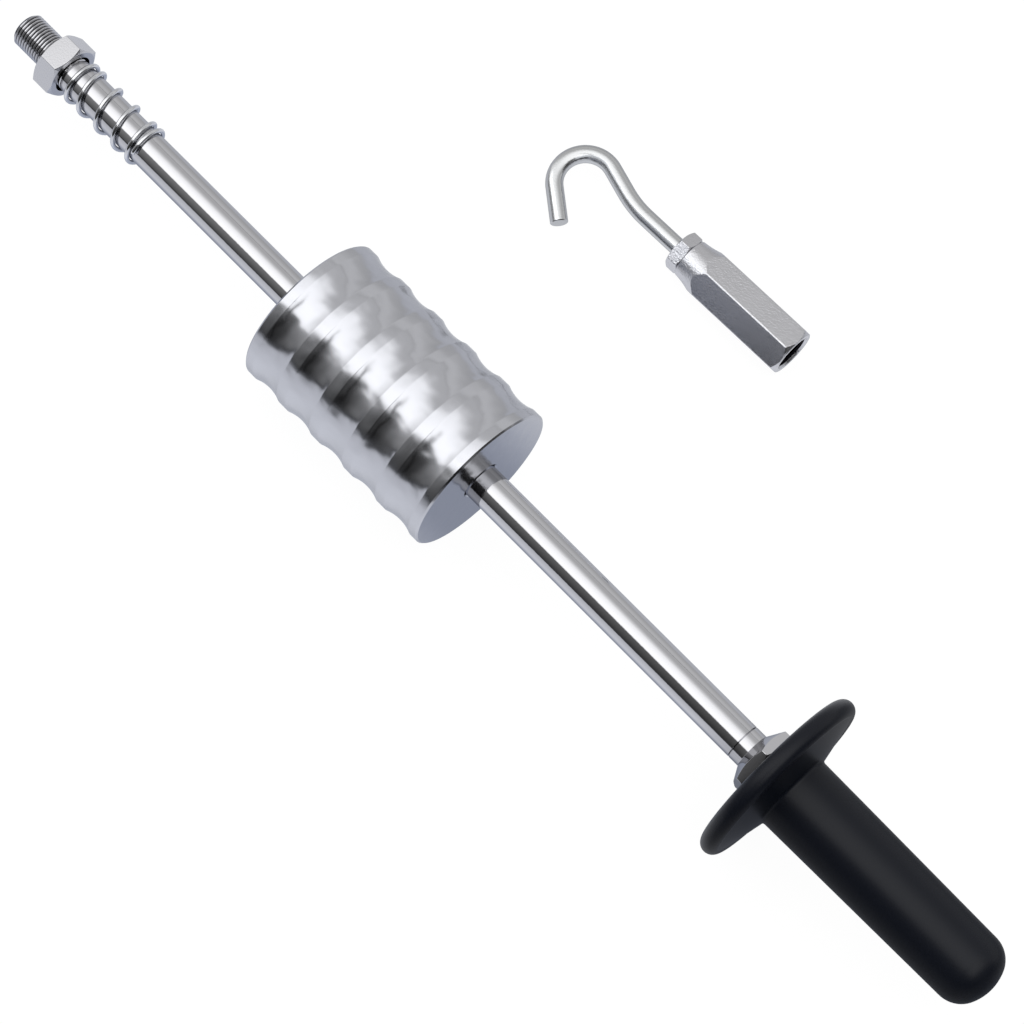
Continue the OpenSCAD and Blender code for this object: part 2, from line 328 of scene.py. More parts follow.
def turned(outline: np.ndarray, sides: int) -> np.ndarray:
    """Turns an outline about Z: each point runs round a circle of its radius.

    Args:
        outline: Points of (radius, height).
        sides: Points on each circle.

    Returns:
        Grid of points with a row for each point of the outline.
    """
    return around(outline[:, :1], outline[:, 1:], angles(sides))


def make_mesh(name: str, rows: np.ndarray, placement: Placement, ring: bool = False) -> bpy.types.Object:
    """Makes a closed skin over a grid of points whose columns wrap round.

    Args:
        name: Name of the object.
        rows: Points as (row, column, 3) in the piece's own frame.
        placement: Where the piece stands.
        ring: Joins the last row to the first; otherwise a fan closes each end.

    Returns:
        The object, at the origin with its place in its mesh, faces pointing outwards.
    """
    count, sides = rows.shape[:2]
    points = rows.reshape(-1, 3)
    here = np.arange(sides)
    after = (here + 1) % sides
    first = np.arange(count if ring else count - 1)[:, None] * sides
    second = (first + sides) % (count * sides)
    quads = np.stack([first + here, first + after, second + after, second + here], axis=-1).reshape(-1, 4)
    triangles = np.zeros((0, 3), int)
    if not ring:
        low, high = len(points), len(points) + 1
        points = np.concatenate([points, rows[:1].mean(axis=1), rows[-1:].mean(axis=1)])
        top = (count - 1) * sides
        triangles = np.concatenate(
            [
                np.stack([after, here, np.full(sides, low)], axis=-1),
                np.stack([top + here, top + after, np.full(sides, high)], axis=-1),
            ]
        )
    points = placement.place(points)
    split = np.concatenate([quads[:, [0, 1, 2]], quads[:, [0, 2, 3]], triangles])
    a, b, c = (points[split[:, i]] for i in range(3))
    if np.einsum("ij,ij->", a, np.cross(b, c)) < 0:
        quads, triangles = quads[:, ::-1], triangles[:, ::-1]
    mesh = bpy.data.meshes.new(name)
    mesh.from_pydata(points * MM, [], quads.tolist() + triangles.tolist())
    mesh.update()
    thing = bpy.data.objects.new(name, mesh)
    bpy.context.collection.objects.link(thing)
    return thing


def paint_shade_inside(thing: bpy.types.Object, share: np.ndarray) -> None:
    """Marks how far each row's points lie inside a hole or a groove, where the finish paints shade.

    Args:
        thing: A piece from make_mesh.
        share: 0 outside to 1 inside, one value a row, or a grid of rows and columns.
    """
    values = np.zeros(len(thing.data.vertices))
    sides = len(values) // len(share)
    grid = np.broadcast_to(np.reshape(share, (len(share), -1)), (len(share), sides))
    values[: grid.size] = grid.ravel()
    thing.data.attributes.new(PAINTED_SHADE_MARK, "FLOAT", "POINT").data.foreach_set("value", values)


def dress(
    thing: bpy.types.Object, finish: Finish, body: str, part: Part, crease: float = 35.0
) -> None:
    """Shades a piece, gives it its finish and ties it to the frame.

    Args:
        thing: The piece.
        finish: Its finish.
        body: CAD body that carries it.
        part: CAD node that it stands for.
        crease: Edges sharper than this stay sharp, in degrees.
    """
    mesh = thing.data
    mesh.shade_smooth()
    mesh.set_sharp_from_angle(angle=math.radians(crease))
    weighted = thing.modifiers.new("even shading", "WEIGHTED_NORMAL")
    weighted.keep_sharp = True
    known = bpy.data.materials.get(finish.name)
    mesh.materials.append(known or finish.material())
    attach(thing, body)
    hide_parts(part.value)
    log.info("%s: %d faces", thing.name, len(mesh.polygons))


@dataclass(frozen=True)
class Hexagon:
    """A hexagon across flats with slightly rounded corners, the first corner at a turn from local X."""

    across: float
    turn: float
    corner: float = 0.35
    corner_steps: int = 4
    flat_steps: int = 14

    def polar(self) -> tuple[np.ndarray, np.ndarray]:
        """Outline in polar form.

        Each corner is an arc whose middle lies inside the corner by the corner radius over cos 30.
        Each flat between two arcs is straight and evenly divided.

        Returns:
            Radius and angle of each outline point, in order round the hexagon.
        """
        inner = (self.across / 2 - self.corner) / math.cos(math.radians(30))
        swing = np.radians(np.linspace(-30, 30, self.corner_steps + 1))
        corner = arc((inner, 0.0), self.corner, swing)
        sixth = math.radians(60)
        turn = [[math.cos(sixth), math.sin(sixth)], [-math.sin(sixth), math.cos(sixth)]]
        share = np.arange(1, self.flat_steps)[:, None] / self.flat_steps
        side = np.concatenate([corner, corner[-1] + (corner[0] @ np.array(turn) - corner[-1]) * share])
        radius = np.hypot(side[:, 0], side[:, 1])
        angle = np.arctan2(side[:, 1], side[:, 0])
        turns = np.arange(6)[:, None] * sixth + math.radians(self.turn)
        return np.tile(radius, 6), (turns + angle).ravel()


# Radii or heights of rows of points: one number for a row, or one for each angle
Rows = list[np.ndarray | float]


def stacked(radii: Rows, heights: Rows, angle: np.ndarray) -> np.ndarray:
    """Stacks rows of points that share their angles about Z.

    Args:
        radii: Radius of each row, one number or one at each angle.
        heights: Height of each row, given likewise.
        angle: Angle of each point in a row.

    Returns:
        Grid of points, a row for each radius and height.
    """
    radius = np.stack([np.broadcast_to(r, angle.shape) for r in radii])
    height = np.stack([np.broadcast_to(h, angle.shape) for h in heights])
    return around(radius, height, angle)


def ridges(height: np.ndarray, angle: np.ndarray, pitch: float) -> np.ndarray:
    """Depth share of a right-handed screw thread.

    The phase is the height over the pitch less the turn so far. A plated crest lies at phase
    nought, a narrow root at one half, and straight flanks join them.

    Args:
        height: Height along the axis.
        angle: Angle about the axis.
        pitch: Advance of one turn.

    Returns:
        0 on a crest and 1 in a root.
    """
    phase = (height / pitch - angle / (2 * math.pi)) % 1
    return np.clip((1 - np.abs(2 * phase - 1) - CREST) / (1 - CREST - ROOT), 0, 1)


# The tool


@dataclass
class Tool:
    """Shaft, lock nut, spring, weight, stop nut and grip, on the shaft's axis."""

    shaft_r: float = 8.0
    crest_r: float = 7.9
    tip_chamfer: float = 1.2
    thread_end: float = 30.0
    thread_pitch: float = 1.5
    thread_depth: float = 0.92
    thread_rows: int = 14
    thread_shade: float = 1.6
    shaft_sides: int = 96
    nut_across: float = 24.0
    nut_turn: float = 40.0
    nut_bore_r: float = 8.05
    wire_d: float = 2.0
    coil_r: float = 9.3
    coil_turns: float = 5.5
    coil_start: float = 242.0
    open_pitch: float = 11.0
    closed_pitch: float = 2.2
    closed_near_nut: float = 0.4
    closed_near_weight: float = 0.6
    ramp_turns: float = 1.0
    wire_chamfer: float = 0.12
    wire_sides: int = 14
    coil_rows: int = 56
    weight_r: float = 35.5
    bore_r: float = 8.5
    groove_count: int = 5
    groove_w: float = 14.9
    groove_depth: float = 1.4
    land_w: float = 4.7
    weight_chamfer: float = 0.8
    mouth_chamfer: float = 0.7
    weight_round: float = 0.25
    weight_sides: int = 160
    groove_rows: int = 25
    stop_across: float = 27.0
    stop_turn: float = 13.0
    boss_l: float = 5.3
    stop_hex_l: float = 8.3
    washer_r: float = 13.16
    washer_l: float = 1.7
    washer_edge: float = 0.05
    seam: float = 0.3
    guard_r: float = 41.0
    rim_r: float = 4.25
    rim_proud: float = 0.6
    rim_sweep: float = 82.0
    rim_steps: int = 33
    crease_in: float = 1.1
    foot: float = 12.4
    foot_round: float = 1.6
    grip_r: float = 16.75
    grip_end_r: float = 15.6
    grip_l: float = 119.1
    end_round: float = 12.0
    round_steps: int = 17
    dome_r: float = 20.8
    dome_hole: float = 0.02
    dome_steps: int = 9
    grip_sides: int = 144
    starts: dict[str, float] = field(default_factory=dict)

    def __post_init__(self) -> None:
        """Reads from the frame at which station each node starts."""
        for part in (Part.LOCK_NUT, Part.SPRING, Part.WEIGHT, Part.STOP_NUT, Part.GRIP):
            self.starts[part.value] = -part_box(part.value)[1][0] / MM

    def shaft(self) -> None:
        """Builds the shaft: a screw thread from the tip, then a plain ground bar.

        In the thread the radius is the crest's less the depth share, and no more than the
        cone at the tip lets it be. The depth fades out over the last turn. Shade is painted into the roots.
        """
        a = angles(self.shaft_sides)
        end = self.starts[Part.STOP_NUT.value]
        count = round((self.thread_end + self.tip_chamfer) / self.thread_pitch * self.thread_rows)
        z = np.linspace(-self.tip_chamfer, self.thread_end, count)[:, None]
        fade = np.clip((self.thread_end - z) / self.thread_pitch, 0, 1)
        cut = self.thread_depth * ridges(z, a, self.thread_pitch) * fade
        cone = self.crest_r + np.minimum(z, 0)
        thread = np.minimum(self.crest_r - cut, cone)
        step = self.shaft_r - self.crest_r
        outline = [
            (self.crest_r, self.thread_end + step),
            (self.shaft_r, self.thread_end + 2 * step),
            (self.shaft_r, end - self.seam),
            (self.shaft_r - self.seam, end),
        ]
        plain = turned(fillet(outline, step), self.shaft_sides)
        rows = np.concatenate([around(thread, z, a), plain])
        thing = make_mesh("shaft_surface", rows, Placement.shaft())
        # Painted shade in the thread's roots, deepest at the bottom of each root
        roots = np.clip(1 - self.thread_shade * (1 - cut / self.thread_depth), 0, 1)
        paint_shade_inside(thing, np.concatenate([roots, np.zeros(plain.shape[:2])]))
        dress(thing, CHROME, "tool", Part.SHAFT)

    def lock_nut(self) -> None:
        """Builds the lock nut on the tip thread."""
        low, high = (-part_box(Part.LOCK_NUT.value)[i][0] / MM for i in (1, 0))
        outline = Hexagon(self.nut_across, self.nut_turn)
        thing = make_nut("lock_nut_surface", outline, high - low, self.nut_bore_r, Placement.shaft(low))
        dress(thing, ZINC, "lock_nut", Part.LOCK_NUT)

    def spring(self) -> None:
        """Builds the spring: a wire of round section along a helix of changing pitch.

        The wire's middle rises by the closed pitch in every turn. Between the closed ends it
        rises more, and the extra pitch grows and falls evenly over the ramp turns. The whole rise
        is then scaled to fill the spring's length in the frame.
        """

        def ramp(t: np.ndarray) -> np.ndarray:
            """Nought before t is nought, a parabola over the ramp, then a straight line."""
            r = self.ramp_turns
            return np.where(t < r, np.maximum(t, 0) ** 2 / (2 * r), t - r / 2)

        t = np.linspace(0, self.coil_turns, round(self.coil_turns * self.coil_rows) + 1)
        fall = self.coil_turns - self.closed_near_weight - self.ramp_turns
        extra = ramp(t - self.closed_near_nut) - ramp(t - fall)
        rise = self.closed_pitch * t + (self.open_pitch - self.closed_pitch) * extra
        low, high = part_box(Part.SPRING.value)
        rise *= ((high[0] - low[0]) / MM - self.wire_d) / rise[-1]
        turn = math.radians(self.coil_start) + 2 * math.pi * t
        out = np.stack([np.cos(turn), np.sin(turn), 0 * turn], axis=-1)
        middle = self.coil_r * out
        middle[:, 2] = self.wire_d / 2 + rise
        along = np.gradient(middle, axis=0)
        along /= np.linalg.norm(along, axis=1)[:, None]
        across = np.cross(along, out)
        rows = tube(middle, out, across, self.wire_d / 2, self.wire_sides, self.wire_chamfer)
        thing = make_mesh("spring_surface", rows, self.on(Part.SPRING))
        dress(thing, WIRE, "spring", Part.SPRING, crease=50.0)

    def on(self, part: Part) -> Placement:
        """Frame at the station where a node starts."""
        return Placement.shaft(self.starts[part.value])

    def weight(self) -> None:
        """Builds the slide weight: lands with hand grooves between them, each groove an arc of a circle."""
        half = self.groove_w / 2
        arc_r = (half**2 + self.groove_depth**2) / (2 * self.groove_depth)
        swing = np.linspace(-1, 1, self.groove_rows) * math.asin(half / arc_r)
        groove = arc((self.weight_r - self.groove_depth + arc_r, half), arc_r, math.pi - swing)
        length = self.groove_count * self.groove_w + (self.groove_count + 1) * self.land_w
        r, c, m = self.weight_r, self.weight_chamfer, self.mouth_chamfer
        end = [(self.bore_r, m), (self.bore_r + m, 0), (r - c, 0), (r, c), (r, self.land_w)]
        front = fillet(end, self.weight_round)
        shift = self.land_w + np.arange(self.groove_count) * (self.land_w + self.groove_w)
        grooves = (groove + np.stack([0 * shift, shift], axis=-1)[:, None]).reshape(-1, 2)
        back = front[::-1] * (1, -1) + (0, length)
        rows = turned(np.concatenate([front[:-1], grooves, back[1:]]), self.weight_sides)
        thing = make_mesh("weight_surface", rows, self.on(Part.WEIGHT), ring=True)
        dress(thing, WEIGHT_CHROME, "weight", Part.WEIGHT, crease=25.0)

    def stop_nut(self) -> None:
        """Builds the stop nut: a round boss, a cone cut by the hexagon, and a washer face behind it."""
        radius, angle = Hexagon(self.stop_across, self.stop_turn).polar()
        edge, r = self.boss_l + (radius - self.shaft_r) * TURNED_DOWN, self.shaft_r
        back = self.boss_l + self.stop_hex_l
        rear = back - (radius - self.washer_r) * TURNED_DOWN
        end = back + self.washer_l
        lift = BEVEL * TURNED_DOWN
        radii = [r - self.seam, r, r, r + BEVEL, radius - BEVEL, radius, radius, radius - BEVEL]
        heights = [0, self.seam, self.boss_l - BEVEL, self.boss_l + lift, edge - lift]
        heights += [edge + BEVEL, rear - BEVEL, rear + lift]
        radii += [self.washer_r + self.washer_edge, self.washer_r, self.washer_r, self.washer_r - BEVEL, r]
        heights += [back, back + BEVEL, end - BEVEL, end, end]
        thing = make_mesh("stop_nut_surface", stacked(radii, heights, angle), self.on(Part.STOP_NUT))
        dress(thing, CHROME, "tool", Part.STOP_NUT)

    def grip(self) -> None:
        """Builds the grip and guard, one moulding turned from its outline.

        The rim is a circle and the guard's back a cone. At the closed end a rounding touches the
        side and the dome from inside, so its middle lies at their radii's difference from the dome's.
        """
        rim_mid = self.guard_r - self.rim_r
        swing = np.radians(np.linspace(-90, self.rim_sweep, self.rim_steps))
        rim = arc((rim_mid, self.rim_r), self.rim_r, swing)
        cap_r = self.grip_end_r - self.end_round
        lean = math.asin(cap_r / (self.dome_r - self.end_round))
        round_z = self.grip_l - self.dome_r + (self.dome_r - self.end_round) * math.cos(lean)
        edge = arc((cap_r, round_z), self.end_round, np.linspace(0, math.pi / 2 - lean, self.round_steps))
        swing = math.pi / 2 - np.linspace(lean, self.dome_hole, self.dome_steps)
        dome = arc((0.0, self.grip_l - self.dome_r), self.dome_r, swing)
        slope = (self.foot - 2 * self.rim_r + self.rim_proud) / (rim_mid - self.grip_r)
        crease_r = rim_mid - self.crease_in
        crease = (crease_r, self.foot - (crease_r - self.grip_r) * slope)
        cone = fillet([crease, (self.grip_r, self.foot), (self.grip_end_r, round_z)], self.foot_round)
        outline = np.concatenate([[(self.shaft_r, 0.0)], rim, cone[:-1], edge, dome[1:]])
        thing = make_mesh("grip_surface", turned(outline, self.grip_sides), self.on(Part.GRIP))
        dress(thing, RUBBER, "tool", Part.GRIP, crease=40.0)

    def build(self, handle_tube: bpy.types.Object) -> None:
        """Builds every shown piece of the tool, and gives the hidden tube its finish.

        Args:
            handle_tube: The CAD node of the tube, which stays.
        """
        for make in (self.shaft, self.lock_nut, self.spring, self.weight, self.stop_nut, self.grip):
            make()
        handle_tube.data.materials.clear()
        handle_tube.data.materials.append(TUBE.material())


def make_nut(
    name: str, hexagon: Hexagon, height: float, bore_r: float, placement: Placement
) -> bpy.types.Object:
    """Makes a hexagon nut with its corners turned down by 30 degrees at both faces.

    At each angle the turned cone meets the flat where its height equals the overhang past the
    face's radius times tan 30. The hole opens steeply at both faces, and shade is painted inside it.

    Args:
        name: Name of the object.
        hexagon: The nut's outline.
        height: Its thickness.
        bore_r: Radius of its hole.
        placement: Where it stands.

    Returns:
        The nut.
    """
    radius, angle = hexagon.polar()
    face, mouth = hexagon.across * NUT_FACE, bore_r * (1 + NUT_MOUTH)
    edge, lift = (radius - face) * TURNED_DOWN, BEVEL * TURNED_DOWN
    near = [bore_r, mouth - MOUTH_EDGE, mouth, face - BEVEL, face + BEVEL, radius - BEVEL, radius]
    up = [2 * bore_r * NUT_MOUTH, MOUTH_EDGE, 0.0, 0.0, lift, edge - lift, edge + BEVEL]
    rows = stacked(near + near[::-1], up + [height - h for h in up[::-1]], angle)
    thing = make_mesh(name, rows, placement, ring=True)
    # Painted shade on the rows of the hole
    share = np.array([1, 1] + [0] * (len(near) - 2))
    paint_shade_inside(thing, np.concatenate([share, share[::-1]]))
    return thing


def tube(
    middle: np.ndarray, first: np.ndarray, second: np.ndarray, radius: float, sides: int, chamfer: float
) -> np.ndarray:
    """Carries a circle along a path and chamfers both ends.

    Args:
        middle: Points of the path.
        first: Unit vector across the path at each point.
        second: The other unit vector across it.
        radius: Radius of the circle.
        sides: Points on the circle.
        chamfer: Chamfer of the ends.

    Returns:
        Grid of points with one more row at each end.
    """
    a = angles(sides)[:, None]
    rim = first[:, None] * np.cos(a) + second[:, None] * np.sin(a)
    rows = middle[:, None] + radius * rim
    start = middle[0] + (radius - chamfer) * rim[0]
    end = middle[-1] + (radius - chamfer) * rim[-1]
    rows[0] += (middle[1] - middle[0]) / np.linalg.norm(middle[1] - middle[0]) * chamfer
    rows[-1] += (middle[-2] - middle[-1]) / np.linalg.norm(middle[-2] - middle[-1]) * chamfer
    return np.concatenate([start[None], rows, end[None]])


# The loose set


@dataclass
class HookSet:
    """Adaptor, hook and jam nut, lying on the bench beside the tool."""

    placement: Placement
    across: float = 22.0
    length: float = 62.1
    neck_r: float = 9.4
    neck_round: float = 0.4
    neck_sweep: float = 38.0
    sweep_start: float = 3.0
    sweep_shares: tuple[float, float] = (0.08, 0.97)
    sweep_rows: int = 11
    hex_turn: float = 30.0
    hex_corner: float = 1.0
    bevel: float = 0.15
    rim_r: float = 10.78
    rim_chamfer: float = 2.1
    socket_r: float = 8.05
    socket_depth: float = 38.0
    socket_mouth: float = 0.8
    thread_pitch: float = 1.5
    thread_depth: float = 0.8
    thread_rows: int = 10
    thread_fade: float = 0.7
    bar_d: float = 8.0
    bar_gap: float = 0.05
    end_gap: float = 0.3
    bar_hole: float = 3.0
    hole_chamfer: float = 0.3
    bar_chamfer: float = 0.35
    bar_sides: int = 40
    shank_in: float = 18.0
    shank: float = 26.2
    setback_r: float = 48.5
    setback: float = 17.0
    back: float = 12.5
    bend_r: float = 13.6
    bend: float = 159.0
    point: float = 17.0
    roll: float = 14.26
    jam_across: float = 17.0
    jam_height: float = 6.2
    jam_turn: float = 49.0
    jam_corner: float = 0.3

    def adaptor(self) -> None:
        """Builds the adaptor from the rod's hole, over the neck and the flats, into the threaded socket.

        The neck's radius grows along an arc, and at each angle it ends where it meets the
        hexagon. In the socket the radius is the root's less what the thread leaves standing.
        """
        radius, angle = Hexagon(self.across, self.hex_turn, self.hex_corner, corner_steps=8).polar()
        hole, face_r = self.bar_d / 2 + self.bar_gap, self.neck_r - self.neck_round
        start = math.radians(self.sweep_start)

        def swept(r: np.ndarray | float) -> np.ndarray:
            """Height at which the neck's arc reaches a radius."""
            lean = np.arccos(math.cos(start) - (r - self.neck_r) / self.neck_sweep)
            return -self.neck_sweep * (np.sin(lean) - math.sin(start))

        radii: Rows = [hole, hole, hole + self.hole_chamfer, face_r, self.neck_r]
        heights: Rows = [-self.bar_hole, -self.hole_chamfer, 0.0, 0.0, -self.neck_round]
        for share in np.linspace(*self.sweep_shares, self.sweep_rows):
            r = self.neck_r + (radius - self.neck_r) * share
            radii.append(r)
            heights.append(swept(r))
        slope = self.rim_chamfer / (self.across / 2 / math.cos(math.radians(30)) - self.rim_r)
        lower = -self.length + (radius - self.rim_r) * slope
        mouth = self.socket_r + self.socket_mouth
        radii += [radius, radius, radius - self.bevel / slope, self.rim_r, self.rim_r - self.bevel, mouth]
        heights += [swept(radius) - self.bevel, lower + self.bevel, lower - self.bevel]
        heights += [-self.length + self.bevel, -self.length, -self.length]
        outer = stacked(radii, heights, angle)
        top = -self.length + self.socket_mouth
        bottom = -self.length + self.socket_depth
        z = np.linspace(top, bottom, round((bottom - top) / self.thread_pitch * self.thread_rows))[:, None]
        fade = np.clip((z - top) / (self.thread_fade * self.thread_pitch), 0, 1)
        r = self.socket_r - self.thread_depth * (1 - ridges(z, angle, self.thread_pitch)) * fade
        socket = around(r, z, angle)
        floor = stacked([hole, hole], [bottom, -self.shank_in - self.end_gap], angle)
        thing = make_mesh("adaptor_surface", np.concatenate([outer, socket, floor]), self.placement)
        # Painted shade inside the threaded socket and the rod's hole
        paint_shade_inside(thing, np.arange(len(outer) + len(socket) + len(floor)) > len(outer))
        dress(thing, ROUGH_ZINC, "adaptor", Part.ADAPTOR)

    def hook(self) -> None:
        """Builds the hook: a round bar along two straights, the set-back, and the hook's bend."""
        side, along, heading = [np.zeros(1)], [np.full(1, -self.shank_in)], [np.zeros(1)]

        def straight(length: float, steps: int) -> None:
            """Goes on along the present heading.

            Args:
                length: How far.
                steps: Points to add.
            """
            s = np.linspace(0, length, steps + 1)[1:]
            h = heading[-1][-1]
            side.append(side[-1][-1] + s * math.sin(h))
            along.append(along[-1][-1] + s * math.cos(h))
            heading.append(np.full(steps, h))

        def curve(radius: float, degrees: float, steps: int) -> None:
            """Turns at a radius: the heading grows evenly, and its sine and cosine give the place.

            Args:
                radius: Radius of the turn.
                degrees: How far to turn, negative away from the hook's point.
                steps: Points to add.
            """
            h0 = heading[-1][-1]
            h = h0 + math.radians(degrees) * np.linspace(0, 1, steps + 1)[1:]
            hand = math.copysign(radius, degrees)
            side.append(side[-1][-1] + hand * (math.cos(h0) - np.cos(h)))
            along.append(along[-1][-1] + hand * (np.sin(h) - math.sin(h0)))
            heading.append(h)

        straight(self.shank_in + self.shank, 12)
        curve(self.setback_r, -self.setback, 14)
        straight(self.back, 4)
        curve(self.bend_r, self.bend, 64)
        straight(self.point, 5)
        s, l, h = (np.concatenate(x) for x in (side, along, heading))
        middle = np.stack([0 * s, s, l], axis=-1)
        first = np.stack([0 * h, np.cos(h), -np.sin(h)], axis=-1)
        second = np.tile([1.0, 0.0, 0.0], (len(h), 1))
        rows = tube(middle, first, second, self.bar_d / 2, self.bar_sides, self.bar_chamfer)
        lean = math.radians(self.roll)
        spin = [[math.cos(lean), -math.sin(lean), 0], [math.sin(lean), math.cos(lean), 0], [0, 0, 1]]
        thing = make_mesh("hook_surface", rows @ np.array(spin), self.placement)
        dress(thing, BAR_ZINC, "hook", Part.HOOK, crease=40.0)

    def jam_nut(self) -> None:
        """Builds the jam nut, seated on the adaptor's neck."""
        outline = Hexagon(self.jam_across, self.jam_turn, self.jam_corner)
        bore_r = self.bar_d / 2 + self.bar_gap
        thing = make_nut("jam_nut_surface", outline, self.jam_height, bore_r, self.placement)
        dress(thing, ROUGH_ZINC, "jam_nut", Part.JAM_NUT)

    def build(self) -> None:
        """Builds every piece of the set."""
        for make in (self.adaptor, self.hook, self.jam_nut):
            make()


# The studio


@dataclass(frozen=True)
class Fade:
    """A level that follows a measure along a stretch of it and is held past both ends."""

    start: float
    end: float
    before: float
    after: float
    unit: float = 1.0
    smooth: bool = False

    def of(self, measure: bpy.types.NodeSocket) -> tuple[dict[str, object], dict[int, object]]:
        """Writes the fade down for a Map Range node.

        Args:
            measure: What the level follows.

        Returns:
            The node's settings and its inputs.
        """
        values = (measure, self.start * self.unit, self.end * self.unit, self.before, self.after)
        return {"interpolation_type": "SMOOTHSTEP" if self.smooth else "LINEAR"}, dict(enumerate(values))


@dataclass(frozen=True)
class Band:
    """A line along the tool in the studio's surroundings: its lean from straight up, and its level."""

    lean: float
    level: float


